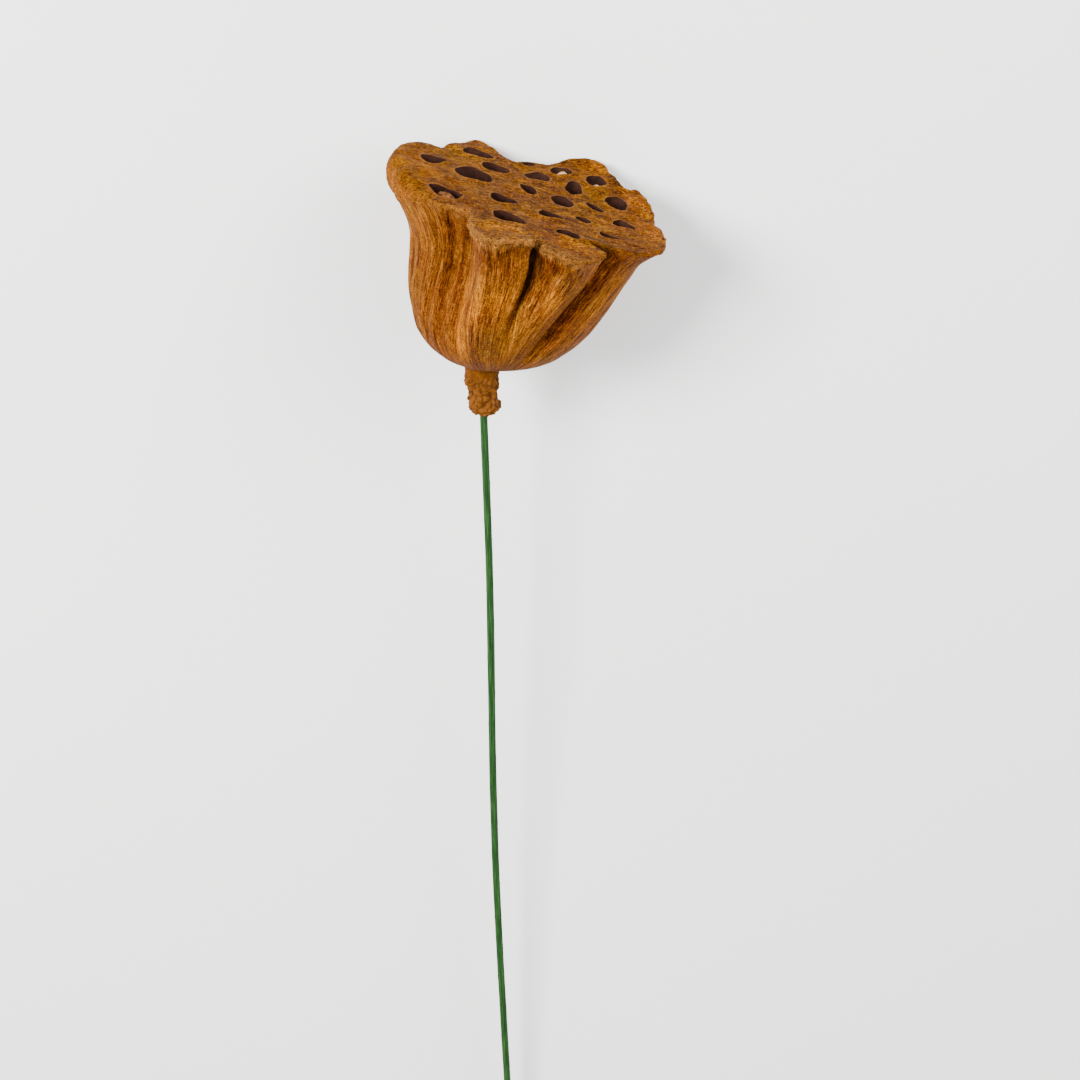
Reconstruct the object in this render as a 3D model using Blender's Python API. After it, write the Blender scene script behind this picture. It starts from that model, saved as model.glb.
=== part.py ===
"""Dried lotus seed pod on a wrapped wire stem, lying on a level surface.

The pod is drawn standing: x to the right, y to the rear and z up, in millimetres, with the origin
at the neck, where its stalk stub meets the flared receptacle. The last step lays it down, on two
rear lobes of its rim and the tip of its wire. The row frame has +Z up and +Y towards the pod.
"""

import bmesh
import bpy
import numpy as np
from mathutils import Euler

MM = 0.001

# ---- receptacle -------------------------------------------------------------------------------
TOP_CENTRE = (13.9, 56.7)  # sideways from the neck, above the neck
TOP_TILT = 16.6  # degrees that the top leans over to the right
MEAN_RIM = 42.5
BASE = 2.0  # height at which the flared wall starts

# how far up the wall, sideways place of the section's centre, its radius as a part of the rim's,
# and the same part at the front, where the wall is fuller
WALL = np.array([
    (0.00, 0.0, 0.125, 0.125),
    (0.03, 2.6, 0.230, 0.215),
    (0.08, 5.0, 0.390, 0.372),
    (0.15, 6.2, 0.520, 0.510),
    (0.25, 6.9, 0.630, 0.625),
    (0.38, 7.8, 0.710, 0.725),
    (0.54, 9.6, 0.765, 0.815),
    (0.70, 12.0, 0.800, 0.880),
    (0.85, 13.4, 0.855, 0.940),
    (1.00, 13.9, 1.000, 1.000),
])
FRONT = -85
FRONT_HALF_WIDTH = 65

# a heel low on the right: its bearing and half width, how far up and half height, how far out
HEEL = (8, 22, 0.08, 0.055, 1.8)

# bearing from the right round by the rear, radius, height over the top's plane, lip thickness
RIM = np.array([
    (-172, 41.0, -1.0, 7.5),
    (-163, 37.8, -1.5, 5.0),
    (-152, 34.5, -1.2, 2.8),
    (-146, 34.3, -0.9, 1.9),
    (-141, 31.8, -0.8, 1.7),
    (-135, 29.6, -0.8, 1.6),
    (-129, 28.8, -0.8, 1.6),
    (-121, 33.3, -0.8, 1.6),
    (-114, 37.6, -0.8, 1.6),
    (-108, 41.4, -0.8, 1.6),
    (-103, 41.2, -0.6, 1.6),
    (-97, 39.6, 0.4, 1.6),
    (-90, 38.0, 1.6, 1.6),
    (-82, 38.8, 1.2, 1.6),
    (-76, 41.8, -0.2, 1.6),
    (-69, 42.2, -1.0, 1.6),
    (-61, 41.2, -0.8, 1.6),
    (-52, 39.2, 0.2, 1.7),
    (-44, 38.6, 0.8, 1.8),
    (-36, 39.2, 0.6, 2.0),
    (-28, 40.8, 0.0, 2.5),
    (-20, 43.2, -0.3, 2.8),
    (-13, 44.9, -0.4, 3.0),
    (10, 45.8, 0.0, 3.0),
    (22, 46.5, 0.2, 3.0),
    (34, 49.0, 2.0, 3.0),
    (41, 49.5, 2.6, 3.0),
    (47, 47.5, 3.2, 3.0),
    (56, 49.0, 4.0, 4.0),
    (65, 50.5, 4.5, 4.0),
    (72, 46.0, 3.5, 4.0),
    (79, 39.5, 1.5, 3.5),
    (88, 38.0, 0.3, 3.0),
    (98, 36.0, 0.0, 3.0),
    (104, 39.0, 0.5, 3.5),
    (111, 46.5, 1.2, 4.0),
    (118, 44.5, 0.8, 4.0),
    (127, 43.0, 0.2, 4.5),
    (138, 42.4, 0.0, 5.0),
    (147, 45.0, 0.4, 6.5),
    (156, 46.3, 0.4, 8.0),
    (166, 45.8, 0.0, 9.0),
    (177, 43.5, -0.5, 9.0),
])

# pleats down the wall: bearing at the rim, depth, half width in degrees, lean under its left
# lobe, and how far up the wall it starts
PLEATS = [
    (-152, 1.2, 6, 0.0, 0.08),
    (-141, 1.6, 5, 0.0, 0.08),
    (-126, 1.5, 6, 0.0, 0.08),
    (-81, 7.5, 6, 5.0, 0.26),
    (-74, 2.6, 6, 0.0, 0.30),
    (-40, 9.0, 9, 7.0, 0.08),
    (17, 1.5, 9, 0.0, 0.08),
    (47, 2.0, 6, 3.0, 0.08),
    (95, 1.5, 12, 0.0, 0.08),
    (134, 1.5, 9, 0.0, 0.08),
    (178, 1.5, 8, 0.0, 0.08),
]
PLEAT_RISE = 0.57  # how much further up it reaches its full depth
SWIRL = 46  # degrees that the wall near SWIRL_BEARING turns on its way down to the neck
SWIRL_BEARING = -30
SWIRL_SPREAD = 7  # the higher, the narrower the stretch that turns

# where the wall, the lip and the top meet, as parts of the lip's thickness in from its widest
# place and down from the rim's height
LIP_UNDER = (0.33, 0.85)
LIP_MIDDLE = 0.4
LIP_HALF_WIDTH = 0.55
LIP_HALF_HEIGHT = 0.5
LIP_OVER = (0.45, -0.1)
LIP_TURN = (-66, 146)  # degrees: where the lip's round starts, and how far it goes round

# seed sockets, on the top's plane: place to the right, place to the rear, length, width,
# turn of the length, how far one end narrows to a point, depth
SOCKETS = [
    (-29.8, 12.6, 8.8, 8.8, 22, 0.8, 11),
    (-16.0, 30.0, 9.8, 5.4, 3, 0.1, 11),
    (-16.8, 10.5, 12.5, 11.0, 45, 0.0, 15),
    (-10.1, 22.0, 9.6, 6.4, -3, 0.2, 13),
    (-25.2, -11.0, 10.6, 8.0, -27, -0.1, 14),
    (0.5, 33.6, 4.5, 3.0, 10, 0.0, 5),
    (3.9, 24.4, 8.4, 6.8, 0, 0.2, 13),
    (11.2, 32.6, 7.2, 5.8, 5, 0.2, 12),
    (22.6, 30.0, 7.2, 7.0, 60, 0.0, 12),
    (15.7, 21.4, 9.6, 5.9, 90, 0.0, 13),
    (1.0, 10.8, 7.2, 6.0, -60, 0.3, 13),
    (-6.9, -4.6, 8.9, 8.4, -6, 0.45, 14),
    (12.1, 8.2, 8.0, 8.0, -80, 0.1, 14),
    (22.6, 10.6, 6.6, 4.4, -18, 0.2, 6),
    (29.9, 19.0, 8.5, 7.2, 90, 0.0, 13),
    (-4.6, -19.8, 10.8, 9.4, -22, 0.5, 14),
    (8.2, -7.2, 7.4, 7.2, -12, 0.5, 10),
    (18.9, -2.3, 5.4, 3.4, -12, 0.2, 5),
    (32.3, 2.6, 7.6, 7.0, -14, 0.5, 10),
    (13.9, -20.0, 7.6, 5.4, -24, 0.2, 6),
    (27.2, -11.2, 6.8, 4.6, -8, 0.4, 6),
]
SOCKET_LEAN = 0.016  # sockets lean in towards the neck, by this part of their place each mm down
SOCKET_FLOOR = 0.55  # size of a socket's floor against its mouth
SOCKET_STRAIGHT = 0.65  # a socket keeps its full size down to this part of its depth

# seeds left in sockets: which socket, how far along and across from its middle, half length,
# half width, half height, depth of the middle
SEEDS = [
    (4, 0.4, 0.0, 4.4, 3.4, 4.8, 4.6),
    (7, 1.0, 0.0, 2.2, 1.6, 3.4, 3.2),
    (8, 0.0, -1.0, 2.5, 1.9, 3.6, 3.8),
    (15, 0.0, 0.0, 3.8, 3.0, 4.6, 6.0),
]

# ---- stalk stub and stem ----------------------------------------------------------------------
# the stub below the neck: height, radius, sideways place of its centre
STUB = np.array([
    (-15.0, 3.6, 0.4),
    (-13.8, 4.9, 0.6),
    (-10.0, 5.0, 0.5),
    (-7.0, 4.8, 0.3),
    (-3.0, 5.7, 0.0),
    (0.0, 5.4, 0.0),
])
BORE_RADIUS = 1.5
BORE_DEPTH = 13.5

STEM_LENGTH = 380.0  # from the stub's end to the cut end
STEM_SLOPE = 0.027  # inside the stub
# the stem's slow bends: distance below the stub's end, sideways place
STEM = np.array([
    (0, 0.0),
    (30, 0.8),
    (60, 1.45),
    (100, 1.75),
    (135, 1.95),
    (170, 2.55),
    (205, 3.7),
    (240, 5.1),
    (300, 7.5),
    (380, 10.0),
])
WIRE_RADIUS = 0.55
WRAP_INNER = 0.85
WRAP_OUTER = 1.3
PLUG_DEPTH = 12.5  # how far the stem goes up into the stub

# ---- lying on the surface ---------------------------------------------------------------------
PITCH = 5.37  # degrees that the stem climbs towards the pod
ROLL = -5.36  # degrees that the pod turns about its stem
NECK_AT = (-14.22, 161.57, 37.16)  # the neck's place in the row frame

# ---- facets -----------------------------------------------------------------------------------
COLUMNS = 108  # points round the receptacle
STUB_RINGS = (-15, -13.8, -10, -7, -3, 0)  # heights
WALL_RINGS = (0.0, 0.03, 0.08, 0.15, 0.25, 0.36, 0.48, 0.6, 0.72, 0.84, 0.94)  # how far up
LIP_RINGS = (0, 0.25, 0.5, 0.75, 1)  # how far over the lip
TOP_RINGS = (0.86, 0.7, 0.5, 0.3, 0.12)  # how far out from the middle
SOCKET_SIDES = 14
SEED_SIDES = 12
SEED_RINGS = 7
WIRE_SIDES = 10
WRAP_SIDES = 12
STEM_RINGS = 16
OVERSHOOT = (7.0, 5.0)  # how far the socket and bore cutters stand out past the surface
SHARP = 50  # degrees between facets over which an edge stays sharp


def smooth(at, knots, values):
    """A smooth curve through hand-set values, with each slope taken from the neighbours."""
    slopes = np.gradient(values, knots)
    i = np.clip(np.searchsorted(knots, at, side="right") - 1, 0, len(knots) - 2)
    gap = knots[i + 1] - knots[i]
    f = np.clip((at - knots[i]) / gap, 0.0, 1.0)
    start = (1 + 2 * f) * values[i] + f * gap * slopes[i]
    end = (3 - 2 * f) * values[i + 1] - (1 - f) * gap * slopes[i + 1]
    return (1 - f) ** 2 * start + f ** 2 * end


def step(x):
    """An easy rise from 0 to 1."""
    x = np.clip(x, 0.0, 1.0)
    return x * x * (3 - 2 * x)


def rim(bearing, column):
    """A column of the RIM table at any bearing, going round without a seam."""
    turn = np.array([360.0, 0, 0, 0])
    table = np.vstack([RIM - turn, RIM, RIM + turn])
    return smooth(bearing, table[:, 0], table[:, column])


def pleat(bearing, up):
    """Depth of the pleats and the turn that folds them, at a bearing and a way up the wall."""
    depth = np.zeros_like(bearing)
    fold = np.zeros_like(bearing)
    for at, deep, half_width, lean, start in PLEATS:
        off = (bearing - at + 180) % 360 - 180
        notch = np.cos(np.clip(off / half_width, -1, 1) * np.pi / 2) ** 2
        reach = step((up - start) / PLEAT_RISE)
        depth += deep * notch * reach
        fold += lean * notch * reach
    return depth, fold


def swirl(bearing, up):
    """Degrees that the wall turns about the neck, most near SWIRL_BEARING and low down."""
    share = (0.5 + 0.5 * np.cos(np.radians(bearing - SWIRL_BEARING))) ** SWIRL_SPREAD
    return SWIRL * share * (1 - np.clip(up, 0, 1)) ** 1.5


def place(radius, bearing, height):
    """Standing place of a point given by its section: sections shift right and lean as they rise."""
    up = np.clip((height - BASE) / (TOP_CENTRE[1] - BASE), 0, 1)
    lean = np.radians(TOP_TILT) * up ** 2
    over = np.maximum(height - TOP_CENTRE[1], 0)
    centre_x = smooth(up, WALL[:, 0], WALL[:, 1]) + over * np.sin(lean)
    centre_z = height - over + over * np.cos(lean)
    along = radius * np.cos(np.radians(bearing))
    return np.stack([centre_x + along * np.cos(lean),
                     radius * np.sin(np.radians(bearing)),
                     centre_z - along * np.sin(lean)], axis=-1)


def wall_point(bearing, up):
    """The fluted side, from the neck (up = 0) to the underside of the lip (up = 1)."""
    lip = rim(bearing, 3)
    edge = rim(bearing, 1) - LIP_UNDER[0] * lip
    height = BASE + up * (TOP_CENTRE[1] + rim(bearing, 2) - LIP_UNDER[1] * lip - BASE)
    front = step(1.3 - np.abs(bearing - FRONT) / FRONT_HALF_WIDTH)
    part = smooth(up, WALL[:, 0], WALL[:, 2]) * (1 - front) + smooth(up, WALL[:, 0], WALL[:, 3]) * front
    radius = part * (MEAN_RIM + (edge - MEAN_RIM) * step(up / 0.8))
    at, half_width, low, half_height, out = HEEL
    radius += out * np.exp(-((bearing - at) / half_width) ** 2 - ((up - low) / half_height) ** 2)
    depth, fold = pleat(bearing, up)
    return place(radius - depth, bearing - fold - swirl(bearing, up), height)


def lip_point(bearing, roll):
    """The rim's lip, from its underside (roll = 0) over its widest place to its top (roll = 1)."""
    lip = rim(bearing, 3)
    depth, fold = pleat(bearing, np.ones_like(bearing))
    turn = np.radians(LIP_TURN[0] + LIP_TURN[1] * roll)
    radius = rim(bearing, 1) - LIP_HALF_WIDTH * lip * (1 - np.cos(turn)) - depth
    height = TOP_CENTRE[1] + rim(bearing, 2) + (LIP_HALF_HEIGHT * np.sin(turn) - LIP_MIDDLE) * lip
    return place(radius, bearing - fold, height)


def top_edge(bearing):
    """Radius and height at which the top meets its lip."""
    lip = rim(bearing, 3)
    return rim(bearing, 1) - LIP_OVER[0] * lip, rim(bearing, 2) - LIP_OVER[1] * lip


def top_point(bearing, out):
    """The top, from its middle (out = 0) to the lip (out = 1)."""
    edge, rise = top_edge(bearing)
    depth, fold = pleat(bearing, np.ones_like(bearing))
    height = rise * out ** 3 - 0.09 * depth * out ** 6
    return place(out * (edge - depth * out ** 2), bearing - fold * out ** 4, TOP_CENTRE[1] + height)


def stub_point(bearing, height):
    """The knobbly stalk stub."""
    radius = smooth(height, STUB[:, 0], STUB[:, 1])
    around = np.radians(bearing)
    knobs = 0.25 * np.sin(3 * around + 0.9 * height) + 0.2 * np.sin(5 * around - 0.6 * height)
    radius = radius + knobs * step(-height / 3)
    centre = smooth(height, STUB[:, 0], STUB[:, 2])
    return np.stack([centre + radius * np.cos(around), radius * np.sin(around), height], axis=-1)


def socket_point(socket, ahead, aside, depth):
    """A place in a socket: along and across its mouth as parts of its half sizes, and down."""
    right, rear, length, width, turn, point, _ = socket
    along = 0.5 * length * ahead
    across = 0.5 * width * aside * (1 - point * (1 + ahead) / 2)
    turn = np.radians(turn)
    lean = 1 - SOCKET_LEAN * np.maximum(depth, 0)
    a = right * lean + along * np.cos(turn) - across * np.sin(turn)
    b = rear * lean + along * np.sin(turn) + across * np.cos(turn)
    edge, rise = top_edge(np.degrees(np.arctan2(rear, right)))
    surface = rise * (np.hypot(right, rear) / edge) ** 3
    tilt = np.radians(TOP_TILT)
    height = surface - depth
    return np.stack([TOP_CENTRE[0] + a * np.cos(tilt) + height * np.sin(tilt), b,
                     TOP_CENTRE[1] - a * np.sin(tilt) + height * np.cos(tilt)], axis=-1)


def stem_point(down):
    """Middle of the stem, at a distance below the stub's end, or above it if negative."""
    sideways = STEM_SLOPE * np.minimum(down, 0) + smooth(np.maximum(down, 0), STEM[:, 0], STEM[:, 1])
    return np.stack([sideways + STUB[0, 2], 0 * down, STUB[0, 0] - down], axis=-1)


# ---- meshes -----------------------------------------------------------------------------------
def laid(points):
    """Turn standing places in millimetres into the row frame's metres."""
    turn = Euler((np.radians(PITCH - 90), 0, 0)).to_matrix()
    turn = Euler((0, np.radians(ROLL), 0)).to_matrix() @ turn
    return (np.asarray(points) @ np.array(turn).T + np.array(NECK_AT)) * MM


def skin(name, rings, poles=(True, True)):
    """A closed mesh from rings of points, each joined to the next, with a fan at each end."""
    count = len(rings[0])
    points = [point for ring in rings for point in ring]
    faces = []
    for row in range(len(rings) - 1):
        for i in range(count):
            j = (i + 1) % count
            low, high = row * count, (row + 1) * count
            faces.append((low + i, low + j, high + j, high + i))
    if poles[0]:
        points.append(np.mean(rings[0], axis=0))
        faces += [(len(points) - 1, (i + 1) % count, i) for i in range(count)]
    if poles[1]:
        points.append(np.mean(rings[-1], axis=0))
        last = (len(rings) - 1) * count
        faces += [(len(points) - 1, last + i, last + (i + 1) % count) for i in range(count)]
    mesh = bpy.data.meshes.new(name)
    mesh.from_pydata(laid(points).tolist(), [], faces)
    shaped = bmesh.new()
    shaped.from_mesh(mesh)
    bmesh.ops.recalc_face_normals(shaped, faces=shaped.faces)
    shaped.to_mesh(mesh)
    shaped.free()
    mesh.shade_smooth()
    mesh.set_sharp_from_angle(angle=np.radians(SHARP))
    made = bpy.data.objects.new(name, mesh)
    bpy.context.scene.collection.objects.link(made)
    return made


def material(name, colour, roughness, metallic=0.0):
    """A plain material in the right colour; the visual model brings the finish."""
    made = bpy.data.materials.new(name)
    made.use_nodes = True
    shader = made.node_tree.nodes["Principled BSDF"]
    shader.inputs["Base Color"].default_value = (*colour, 1)
    shader.inputs["Roughness"].default_value = roughness
    shader.inputs["Metallic"].default_value = metallic
    return made


def cutter(name, rings):
    """A closed mesh that is only there to be taken out of another."""
    made = skin(name, rings)
    made.hide_render = True
    made.display_type = "WIRE"
    return made


def cut(target, tool):
    """Take a tool's volume out of an object."""
    boolean = target.modifiers.new(tool.name, "BOOLEAN")
    boolean.operation = "DIFFERENCE"
    boolean.object = tool


def tube_rings(middles, radius, sides):
    """Level rings of a nearly upright tube about a list of middle points."""
    around = np.linspace(0, 2 * np.pi, sides, endpoint=False)
    circle = np.stack([np.cos(around), np.sin(around), 0 * around], axis=-1) * radius
    return [middle + circle for middle in middles]


def make_pod(colour):
    """The receptacle and its stub as one solid, less the sockets and the stem's bore."""
    bearing = np.linspace(-180, 180, COLUMNS, endpoint=False)
    level = np.ones_like(bearing)
    rings = [stub_point(bearing, level * height) for height in STUB_RINGS]
    rings += [wall_point(bearing, level * up) for up in WALL_RINGS]
    rings += [lip_point(bearing, level * roll) for roll in LIP_RINGS]
    rings += [top_point(bearing, level * out) for out in TOP_RINGS]
    pod = skin("seed_pod", rings)
    pod.data.materials.append(colour)

    around = np.linspace(0, 2 * np.pi, SOCKET_SIDES, endpoint=False)
    for number, socket in enumerate(SOCKETS):
        depth = socket[6]
        levels = [(1.0, -OVERSHOOT[0]), (1.0, 0.0), (1.0, SOCKET_STRAIGHT * depth), (SOCKET_FLOOR, depth)]
        rings = [socket_point(socket, size * np.cos(around), size * np.sin(around), down + 0 * around)
                 for size, down in levels]
        cut(pod, cutter(f"socket_cutter_{number + 1}", rings))

    middles = stem_point(np.array([OVERSHOOT[1], -BORE_DEPTH]))
    cut(pod, cutter("stem_bore_cutter", tube_rings(middles, BORE_RADIUS, SOCKET_SIDES)))
    return pod


def make_seed(number, seed, colour):
    """A shrivelled seed, standing in its socket."""
    index, along, across, half_length, half_width, half_height, depth = seed
    socket = SOCKETS[index]
    around = np.linspace(0, 2 * np.pi, SEED_SIDES, endpoint=False)
    rings = []
    for polar in np.linspace(0, np.pi, SEED_RINGS + 2)[1:-1]:
        ahead = (along + half_length * np.sin(polar) * np.cos(around)) / (0.5 * socket[2])
        aside = (across + half_width * np.sin(polar) * np.sin(around)) / (0.5 * socket[3])
        rings.append(socket_point(socket, ahead, aside, depth - half_height * np.cos(polar) + 0 * around))
    made = skin(f"seed_{number}", rings)
    made.data.materials.append(colour)


def make_stem(wire_colour, wrap_colour):
    """The wire, and the tape wound round it as one tube that is open at both ends."""
    down = np.concatenate([[-PLUG_DEPTH, 0], np.linspace(0, STEM_LENGTH, STEM_RINGS + 1)[1:]])
    middles = stem_point(down)
    wire = skin("stem_wire", tube_rings(middles, WIRE_RADIUS, WIRE_SIDES))
    wire.data.materials.append(wire_colour)
    outside = tube_rings(middles, WRAP_OUTER, WRAP_SIDES)
    inside = tube_rings(middles, WRAP_INNER, WRAP_SIDES)[::-1]
    wrap = skin("stem_wrap", outside + inside + outside[:1], poles=(False, False))
    merged = bmesh.new()
    merged.from_mesh(wrap.data)
    bmesh.ops.remove_doubles(merged, verts=merged.verts, dist=1e-6)
    bmesh.ops.recalc_face_normals(merged, faces=merged.faces)
    merged.to_mesh(wrap.data)
    merged.free()
    wrap.data.materials.append(wrap_colour)


def main():
    for old in list(bpy.data.objects):
        bpy.data.objects.remove(old)
    pod_colour = material("dried_receptacle", (0.32, 0.13, 0.03), 0.8)
    seed_colour = material("dried_seed", (0.18, 0.07, 0.03), 0.7)
    wrap_colour = material("green_stem_tape", (0.03, 0.11, 0.03), 0.6)
    wire_colour = material("steel_wire", (0.5, 0.5, 0.5), 0.35, 1.0)
    make_pod(pod_colour)
    for number, seed in enumerate(SEEDS):
        make_seed(number + 1, seed, seed_colour)
    make_stem(wire_colour, wrap_colour)


main()
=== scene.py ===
"""A dried lotus seed pod on a green-wrapped wire stem, lying on a pale table.

The pod is drawn standing: x to the right, y to the rear and z up, in millimetres, with the origin
at the neck, where its stalk stub meets the flared receptacle. laid() then puts it down as the CAD
model lies: its stem along Y, its top towards +Y, on two rear lobes of its rim and its wire's tip.
"""

import bpy
import numpy as np
from mathutils import Euler, Matrix, Vector, kdtree, noise


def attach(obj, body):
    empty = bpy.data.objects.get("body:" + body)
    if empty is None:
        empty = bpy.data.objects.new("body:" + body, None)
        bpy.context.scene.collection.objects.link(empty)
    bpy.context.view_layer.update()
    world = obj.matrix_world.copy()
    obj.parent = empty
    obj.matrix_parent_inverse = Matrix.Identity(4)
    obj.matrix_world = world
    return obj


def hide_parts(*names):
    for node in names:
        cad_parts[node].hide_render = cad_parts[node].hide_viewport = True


MM = 0.001

# ---- the receptacle's form --------------------------------------------------------------------
TOP_CENTRE = (13.9, 56.7)  # sideways from the neck, above the neck
TOP_TILT = 16.6  # degrees that the top leans over to the right
MEAN_RIM = 42.5
BASE = 2.0  # height at which the flared wall starts

# how far up the wall, sideways place of the section's centre, its radius as a part of the rim's,
# and the same part at the front, where the wall is fuller
WALL = np.array([
    (0.00, 0.0, 0.125, 0.125),
    (0.03, 2.6, 0.230, 0.215),
    (0.08, 5.0, 0.390, 0.372),
    (0.15, 6.2, 0.520, 0.510),
    (0.25, 6.9, 0.630, 0.625),
    (0.38, 7.8, 0.710, 0.725),
    (0.54, 9.6, 0.765, 0.815),
    (0.70, 12.0, 0.800, 0.880),
    (0.85, 13.4, 0.855, 0.940),
    (1.00, 13.9, 1.000, 1.000),
])
# stretches of the rim: middle bearing, half width, and the middle's share before it is cut to 1
FRONT = (-85, 65, 1.3)  # where the wall is fuller
CRUMBLING = (-98, 56, 1.25)  # where the lip flakes and the wall draws in under it
TORN = (42, 32, 1.4)  # where the lip is torn
TEAR = (48, 2.0)  # its one sharp tear: bearing, half width

# a heel low on the right: its bearing and half width, how far up and half height, how far out
HEEL = (8, 22, 0.08, 0.055, 1.8)

# bearing from the right round by the rear, radius, height over the top's plane, lip thickness
RIM = np.array([
    (-172, 41.0, -1.0, 7.5),
    (-163, 37.8, -1.5, 5.0),
    (-152, 34.5, -1.2, 2.8),
    (-146, 34.3, -0.9, 1.9),
    (-141, 31.8, -0.8, 1.7),
    (-135, 29.6, -0.8, 1.6),
    (-129, 28.8, -0.8, 1.6),
    (-121, 33.3, -0.8, 1.6),
    (-114, 37.6, -0.8, 1.6),
    (-108, 41.4, -0.8, 1.6),
    (-103, 41.2, -0.6, 1.6),
    (-97, 39.6, 0.4, 1.6),
    (-90, 38.0, 1.6, 1.6),
    (-82, 38.8, 1.2, 1.6),
    (-76, 41.8, -0.2, 1.6),
    (-69, 42.2, -1.0, 1.6),
    (-61, 41.2, -0.8, 1.6),
    (-52, 39.2, 0.2, 1.7),
    (-44, 38.6, 0.8, 1.8),
    (-36, 39.2, 0.6, 2.0),
    (-28, 40.8, 0.0, 2.5),
    (-20, 43.2, -0.3, 2.8),
    (-13, 44.9, -0.4, 3.0),
    (10, 45.8, 0.0, 3.0),
    (22, 46.5, 0.2, 3.0),
    (34, 49.0, 2.0, 3.0),
    (41, 49.5, 2.6, 3.0),
    (47, 47.5, 3.2, 3.0),
    (56, 49.0, 4.0, 4.0),
    (65, 50.5, 4.5, 4.0),
    (72, 46.0, 3.5, 4.0),
    (79, 39.5, 1.5, 3.5),
    (88, 38.0, 0.3, 3.0),
    (98, 36.0, 0.0, 3.0),
    (104, 39.0, 0.5, 3.5),
    (111, 46.5, 1.2, 4.0),
    (118, 44.5, 0.8, 4.0),
    (127, 43.0, 0.2, 4.5),
    (138, 42.4, 0.0, 5.0),
    (147, 45.0, 0.4, 6.5),
    (156, 46.3, 0.4, 8.0),
    (166, 45.8, 0.0, 9.0),
    (177, 43.5, -0.5, 9.0),
])

# pleats down the wall: bearing at the rim, depth, half width in degrees, lean under its left
# lobe, and how far up the wall it starts
PLEATS = [
    (-152, 1.2, 6, 0.0, 0.08),
    (-141, 1.6, 5, 0.0, 0.08),
    (-126, 1.5, 6, 0.0, 0.08),
    (-81, 7.5, 6, 5.0, 0.26),
    (-74, 2.6, 6, 0.0, 0.30),
    (-40, 9.0, 9, 7.0, 0.08),
    (17, 1.5, 9, 0.0, 0.08),
    (47, 2.0, 6, 3.0, 0.08),
    (95, 1.5, 12, 0.0, 0.08),
    (134, 1.5, 9, 0.0, 0.08),
    (178, 1.5, 8, 0.0, 0.08),
]
PLEAT_RISE = 0.57  # how much further up it reaches its full depth
SWIRL = 46  # degrees that the wall near SWIRL_BEARING turns on its way down to the neck
SWIRL_BEARING = -30
SWIRL_SPREAD = 7  # the higher, the narrower the stretch that turns

# where the wall, the lip and the top meet, as parts of the lip's thickness in from its widest
# place and down from the rim's height
LIP_UNDER = (0.33, 0.85)
LIP_MIDDLE = 0.4
LIP_HALF_WIDTH = 0.55
LIP_HALF_HEIGHT = 0.5
LIP_OVER = (0.45, -0.1)
LIP_TURN = (-66, 146)  # degrees: where the lip's round starts, and how far it goes round

# seed sockets, on the top's plane: place to the right, place to the rear, length, width,
# turn of the length, how far one end narrows to a point, depth
SOCKETS = [
    (-29.8, 12.6, 8.8, 8.8, 22, 0.8, 11),
    (-16.0, 30.0, 9.8, 5.4, 3, 0.1, 11),
    (-16.8, 10.5, 12.5, 11.0, 45, 0.0, 15),
    (-10.1, 22.0, 9.6, 6.4, -3, 0.2, 13),
    (-25.2, -11.0, 10.6, 8.0, -27, -0.1, 14),
    (0.5, 33.6, 4.5, 3.0, 10, 0.0, 5),
    (3.9, 24.4, 8.4, 6.8, 0, 0.2, 13),
    (11.2, 32.6, 7.2, 5.8, 5, 0.2, 12),
    (22.6, 30.0, 7.2, 7.0, 60, 0.0, 12),
    (15.7, 21.4, 9.6, 5.9, 90, 0.0, 13),
    (1.0, 10.8, 7.2, 6.0, -60, 0.3, 13),
    (-6.9, -4.6, 8.9, 8.4, -6, 0.45, 14),
    (12.1, 8.2, 8.0, 8.0, -80, 0.1, 14),
    (22.6, 10.6, 6.6, 4.4, -18, 0.2, 6),
    (29.9, 19.0, 8.5, 7.2, 90, 0.0, 13),
    (-4.6, -19.8, 10.8, 9.4, -22, 0.5, 14),
    (8.2, -7.2, 7.4, 7.2, -12, 0.5, 10),
    (18.9, -2.3, 5.4, 3.4, -12, 0.2, 5),
    (32.3, 2.6, 7.6, 7.0, -14, 0.5, 10),
    (13.9, -20.0, 7.6, 5.4, -24, 0.2, 6),
    (27.2, -11.2, 6.8, 4.6, -8, 0.4, 6),
]
SOCKET_LEAN = 0.016  # sockets lean in towards the neck, by this part of their place each mm down
SOCKET_FLOOR = 0.55  # size of a socket's floor against its mouth
SOCKET_STRAIGHT = 0.65  # a socket keeps its full size down to this part of its depth
OVERSHOOT = (7.0, 5.0)  # how far the socket and bore cutters stand out past the surface
# a mouth's unevenness: size, waves round it, and their turn for each socket's number
RAGGED = [(0.04, 2, 1.7), (0.04, 3, 2.9), (0.025, 5, 4.1), (0.012, 9, 0.7)]

# seeds left in sockets: which socket, how far along and across from its middle, half length,
# half width, half height, depth of the middle
SEEDS = [
    (4, 0.4, 0.0, 4.4, 3.4, 4.8, 4.6),
    (7, 1.0, 0.0, 2.2, 1.6, 3.4, 3.2),
    (8, 0.0, -1.0, 2.5, 1.9, 3.6, 3.8),
    (15, 0.0, 0.0, 3.8, 3.0, 4.6, 6.0),
]
# their coats: name, dark colour, light colour
SEED_COATS = [
    ("brown_seed_coat", "#3A1E0C", "#7A4A24"),
    ("split_pale_seed_coat", "#8A5A34", "#EBCBA0"),
    ("chipped_seed_coat", "#3A1E14", "#D8B088"),
    ("dark_seed_coat", "#2A140C", "#5E3420"),
]

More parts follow.
